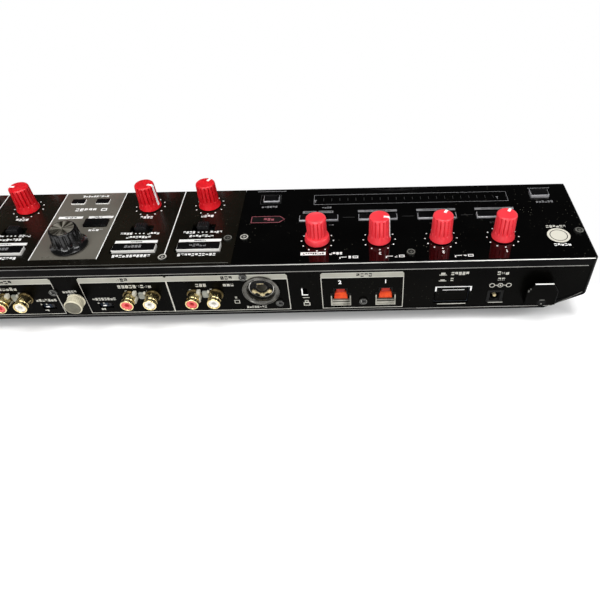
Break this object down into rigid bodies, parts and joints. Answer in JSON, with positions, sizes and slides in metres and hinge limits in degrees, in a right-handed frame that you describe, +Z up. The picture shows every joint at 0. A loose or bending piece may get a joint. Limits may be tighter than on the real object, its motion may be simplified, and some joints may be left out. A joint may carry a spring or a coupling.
{
  "type": "dj mixer",
  "caption": "Wide black DJ mixer desk: mixer section between two jog-wheel decks, red knobs, faders, pads and a rear panel of audio, USB and power sockets.",
  "frame": {"origin": "on the table surface, at the middle of the bounding box's base", "axes": "+Z up; the user stands on the -Y side and the sockets face +Y; X along the width"},
  "size_m": [0.664, 0.3562, 0.0705],
  "materials": {
    "case_plastic": "fine moulded texture",
    "plate_gloss": "gloss black lacquer",
    "plate_satin": "satin brown-grey",
    "panel_print": "satin black with printed marks",
    "board_green": "solder mask",
    "control_parts": "pressed",
    "rubber": "matte",
    "steel": "bright",
    "gold": "gold plate",
    "socket_black": "moulded",
    "champagne": "satin nickel",
    "knob_red": "satin",
    "knob_black": "gloss flutes",
    "jog": "satin with metal rim",
    "fader_cap": "satin",
    "button": "gloss top, translucent skirt",
    "pad_rubber": "soft"
  },
  "bodies": {
    "case": {"lower_case": "case_plastic", "top_case": "case_plastic", "rear_panel": "panel_print", "deck_plates": "plate_gloss", "mixer_plate": "plate_satin", "boards": "board_green", "control_bodies": "control_parts", "feet": "rubber", "screws": "steel", "phono_sockets": "gold", "mic_and_balanced_sockets": "socket_black", "jack_sockets": "socket_black", "usb_and_dc_sockets": "steel", "cord_hook": "socket_black"},
    "fx_knob_left_1": {"fx_knob_left_1": "knob_red"},
    "fx_knob_left_2": {"fx_knob_left_2": "knob_red"},
    "fx_knob_left_3": {"fx_knob_left_3": "knob_red"},
    "beats_knob_left": {"beats_knob_left": "knob_red"},
    "jog_left": {"jog_left": "jog"},
    "tempo_fader_left": {"tempo_fader_left": "fader_cap"},
    "fx_knob_right_1": {"fx_knob_right_1": "knob_red"},
    "fx_knob_right_2": {"fx_knob_right_2": "knob_red"},
    "fx_knob_right_3": {"fx_knob_right_3": "knob_red"},
    "beats_knob_right": {"beats_knob_right": "knob_red"},
    "jog_right": {"jog_right": "jog"},
    "tempo_fader_right": {"tempo_fader_right": "fader_cap"},
    "trim_knob_1": {"trim_knob_1": "knob_red"},
    "high_knob_1": {"high_knob_1": "knob_red"},
    "mid_knob_1": {"mid_knob_1": "knob_red"},
    "low_knob_1": {"low_knob_1": "knob_red"},
    "channel_fader_1": {"channel_fader_1": "fader_cap"},
    "selector_1": {"selector_1": "fader_cap"},
    "trim_knob_2": {"trim_knob_2": "knob_red"},
    "high_knob_2": {"high_knob_2": "knob_red"},
    "mid_knob_2": {"mid_knob_2": "knob_red"},
    "low_knob_2": {"low_knob_2": "knob_red"},
    "channel_fader_2": {"channel_fader_2": "fader_cap"},
    "selector_2": {"selector_2": "fader_cap"},
    "trim_knob_3": {"trim_knob_3": "knob_red"},
    "high_knob_3": {"high_knob_3": "knob_red"},
    "mid_knob_3": {"mid_knob_3": "knob_red"},
    "low_knob_3": {"low_knob_3": "knob_red"},
    "channel_fader_3": {"channel_fader_3": "fader_cap"},
    "selector_3": {"selector_3": "fader_cap"},
    "trim_knob_4": {"trim_knob_4": "knob_red"},
    "high_knob_4": {"high_knob_4": "knob_red"},
    "mid_knob_4": {"mid_knob_4": "knob_red"},
    "low_knob_4": {"low_knob_4": "knob_red"},
    "channel_fader_4": {"channel_fader_4": "fader_cap"},
    "selector_4": {"selector_4": "fader_cap"},
    "browse_knob": {"browse_knob": "knob_black"},
    "master_knob": {"master_knob": "knob_red"},
    "phones_knob": {"phones_knob": "knob_red"},
    "crossfader": {"crossfader": "fader_cap"},
    "mixer_buttons": {"mixer_buttons": "button"},
    "deck_buttons": {"deck_buttons": "button"},
    "pads": {"pads": "pad_rubber"},
    "power_button": {"power_button": "socket_black"},
    "phono_switches": {"phono_switches": "socket_black"},
    "ground_terminal": {"ground_terminal": "champagne"}
  },
  "joints": [
    {"name": "fx_knob_left_1_turn", "type": "hinge", "parent": "case", "child": "fx_knob_left_1", "pos_m": [-0.277, 0.14495, 0.052], "axis": [0, 0, 1], "range_deg": [-300, 0]},
    {"name": "fx_knob_left_2_turn", "type": "hinge", "parent": "case", "child": "fx_knob_left_2", "pos_m": [-0.2375, 0.14495, 0.052], "axis": [0, 0, 1], "range_deg": [-300, 0]},
    {"name": "fx_knob_left_3_turn", "type": "hinge", "parent": "case", "child": "fx_knob_left_3", "pos_m": [-0.198, 0.14495, 0.052], "axis": [0, 0, 1], "range_deg": [-240, 60]},
    {"name": "beats_knob_left_turn", "type": "hinge", "parent": "case", "child": "beats_knob_left", "pos_m": [-0.1585, 0.14495, 0.052], "axis": [0, 0, 1], "continuous": true},
    {"name": "jog_left_turn", "type": "hinge", "parent": "case", "child": "jog_left", "pos_m": [-0.2155, -0.00335, 0.052], "axis": [0, 0, 1], "continuous": true},
    {"name": "tempo_fader_left_slide", "type": "slide", "parent": "case", "child": "tempo_fader_left", "axis": [0, 1, 0], "range_m": [-0.03, 0.03]},
    {"name": "fx_knob_right_1_turn", "type": "hinge", "parent": "case", "child": "fx_knob_right_1", "pos_m": [0.161, 0.14495, 0.052], "axis": [0, 0, 1], "range_deg": [-300, 0]},
    {"name": "fx_knob_right_2_turn", "type": "hinge", "parent": "case", "child": "fx_knob_right_2", "pos_m": [0.2005, 0.14495, 0.052], "axis": [0, 0, 1], "range_deg": [-300, 0]},
    {"name": "fx_knob_right_3_turn", "type": "hinge", "parent": "case", "child": "fx_knob_right_3", "pos_m": [0.24, 0.14495, 0.052], "axis": [0, 0, 1], "range_deg": [-240, 60]},
    {"name": "beats_knob_right_turn", "type": "hinge", "parent": "case", "child": "beats_knob_right", "pos_m": [0.2795, 0.14495, 0.052], "axis": [0, 0, 1], "continuous": true},
    {"name": "jog_right_turn", "type": "hinge", "parent": "case", "child": "jog_right", "pos_m": [0.2225, -0.00335, 0.052], "axis": [0, 0, 1], "continuous": true},
    {"name": "tempo_fader_right_slide", "type": "slide", "parent": "case", "child": "tempo_fader_right", "axis": [0, 1, 0], "range_m": [-0.03, 0.03]},
    {"name": "trim_knob_1_turn", "type": "hinge", "parent": "case", "child": "trim_knob_1", "pos_m": [-0.042, 0.10365, 0.052], "axis": [0, 0, 1], "range_deg": [-225, 75]},
    {"name": "high_knob_1_turn", "type": "hinge", "parent": "case", "child": "high_knob_1", "pos_m": [-0.042, 0.06065, 0.052], "axis": [0, 0, 1], "range_deg": [-150, 150]},
    {"name": "mid_knob_1_turn", "type": "hinge", "parent": "case", "child": "mid_knob_1", "pos_m": [-0.042, 0.02965, 0.052], "axis": [0, 0, 1], "range_deg": [-150, 150]},
    {"name": "low_knob_1_turn", "type": "hinge", "parent": "case", "child": "low_knob_1", "pos_m": [-0.042, -0.00135, 0.052], "axis": [0, 0, 1], "range_deg": [-150, 150]},
    {"name": "channel_fader_1_slide", "type": "slide", "parent": "case", "child": "channel_fader_1", "axis": [0, 1, 0], "range_m": [-0.0225, 0.0225]},
    {"name": "selector_1_slide", "type": "slide", "parent": "case", "child": "selector_1", "axis": [1, 0, 0], "range_m": [-0.003, 0.003]},
    {"name": "trim_knob_2_turn", "type": "hinge", "parent": "case", "child": "trim_knob_2", "pos_m": [0.042, 0.10365, 0.052], "axis": [0, 0, 1], "range_deg": [-60, 240]},
    {"name": "high_knob_2_turn", "type": "hinge", "parent": "case", "child": "high_knob_2", "pos_m": [0.042, 0.06065, 0.052], "axis": [0, 0, 1], "range_deg": [-150, 150]},
    {"name": "mid_knob_2_turn", "type": "hinge", "parent": "case", "child": "mid_knob_2", "pos_m": [0.042, 0.02965, 0.052], "axis": [0, 0, 1], "range_deg": [-150, 150]},
    {"name": "low_knob_2_turn", "type": "hinge", "parent": "case", "child": "low_knob_2", "pos_m": [0.042, -0.00135, 0.052], "axis": [0, 0, 1], "range_deg": [-150, 150]},
    {"name": "channel_fader_2_slide", "type": "slide", "parent": "case", "child": "channel_fader_2", "axis": [0, 1, 0], "range_m": [-0.0225, 0.0225]},
    {"name": "selector_2_slide", "type": "slide", "parent": "case", "child": "selector_2", "axis": [1, 0, 0], "range_m": [-0.003, 0.003]},
    {"name": "trim_knob_3_turn", "type": "hinge", "parent": "case", "child": "trim_knob_3", "pos_m": [-0.083, 0.10365, 0.052], "axis": [0, 0, 1], "range_deg": [-300, 0]},
    {"name": "high_knob_3_turn", "type": "hinge", "parent": "case", "child": "high_knob_3", "pos_m": [-0.083, 0.06065, 0.052], "axis": [0, 0, 1], "range_deg": [-150, 150]},
    {"name": "mid_knob_3_turn", "type": "hinge", "parent": "case", "child": "mid_knob_3", "pos_m": [-0.083, 0.02965, 0.052], "axis": [0, 0, 1], "range_deg": [-150, 150]},
    {"name": "low_knob_3_turn", "type": "hinge", "parent": "case", "child": "low_knob_3", "pos_m": [-0.083, -0.00135, 0.052], "axis": [0, 0, 1], "range_deg": [-150, 150]},
    {"name": "channel_fader_3_slide", "type": "slide", "parent": "case", "child": "channel_fader_3", "axis": [0, 1, 0], "range_m": [-0.0225, 0.0225]},
    {"name": "selector_3_slide", "type": "slide", "parent": "case", "child": "selector_3", "axis": [1, 0, 0], "range_m": [-0.003, 0.003]},
    {"name": "trim_knob_4_turn", "type": "hinge", "parent": "case", "child": "trim_knob_4", "pos_m": [0.083, 0.10365, 0.052], "axis": [0, 0, 1], "range_deg": [-150, 150]},
    {"name": "high_knob_4_turn", "type": "hinge", "parent": "case", "child": "high_knob_4", "pos_m": [0.083, 0.06065, 0.052], "axis": [0, 0, 1], "range_deg": [-150, 150]},
    {"name": "mid_knob_4_turn", "type": "hinge", "parent": "case", "child": "mid_knob_4", "pos_m": [0.083, 0.02965, 0.052], "axis": [0, 0, 1], "range_deg": [-150, 150]},
    {"name": "low_knob_4_turn", "type": "hinge", "parent": "case", "child": "low_knob_4", "pos_m": [0.083, -0.00135, 0.052], "axis": [0, 0, 1], "range_deg": [-150, 150]},
    {"name": "channel_fader_4_slide", "type": "slide", "parent": "case", "child": "channel_fader_4", "axis": [0, 1, 0], "range_m": [-0.0225, 0.0225]},
    {"name": "selector_4_slide", "type": "slide", "parent": "case", "child": "selector_4", "axis": [1, 0, 0], "range_m": [-0.003, 0.003]},
    {"name": "browse_knob_turn", "type": "hinge", "parent": "case", "child": "browse_knob", "pos_m": [0, 0.14465, 0.052], "axis": [0, 0, 1], "continuous": true},
    {"name": "master_knob_turn", "type": "hinge", "parent": "case", "child": "master_knob", "pos_m": [0, 0.06065, 0.052], "axis": [0, 0, 1], "range_deg": [-150, 150]},
    {"name": "phones_knob_turn", "type": "hinge", "parent": "case", "child": "phones_knob", "pos_m": [0, -0.00135, 0.052], "axis": [0, 0, 1], "range_deg": [-150, 150]},
    {"name": "crossfader_slide", "type": "slide", "parent": "case", "child": "crossfader", "axis": [1, 0, 0], "range_m": [-0.0225, 0.0225]},
    {"name": "mixer_buttons_press", "type": "slide", "parent": "case", "child": "mixer_buttons", "axis": [0, 0, -1], "range_m": [0, 0.0008], "stiffness_N_per_m": 2000, "springref_m": -0.001},
    {"name": "deck_buttons_press", "type": "slide", "parent": "case", "child": "deck_buttons", "axis": [0, 0, -1], "range_m": [0, 0.0008], "stiffness_N_per_m": 2000, "springref_m": -0.001},
    {"name": "pads_press", "type": "slide", "parent": "case", "child": "pads", "axis": [0, 0, -1], "range_m": [0, 0.0008], "stiffness_N_per_m": 2000, "springref_m": -0.001},
    {"name": "power_button_press", "type": "slide", "parent": "case", "child": "power_button", "axis": [0, -1, 0], "range_m": [0, 0.0025], "stiffness_N_per_m": 600, "springref_m": -0.001},
    {"name": "phono_switches_slide", "type": "slide", "parent": "case", "child": "phono_switches", "axis": [1, 0, 0], "range_m": [0, 0.0044]},
    {"name": "ground_terminal_turn", "type": "hinge", "parent": "case", "child": "ground_terminal", "pos_m": [-0.0048, 0.16735, 0.0287], "axis": [0, 1, 0], "range_deg": [0, 360]}
  ]
}
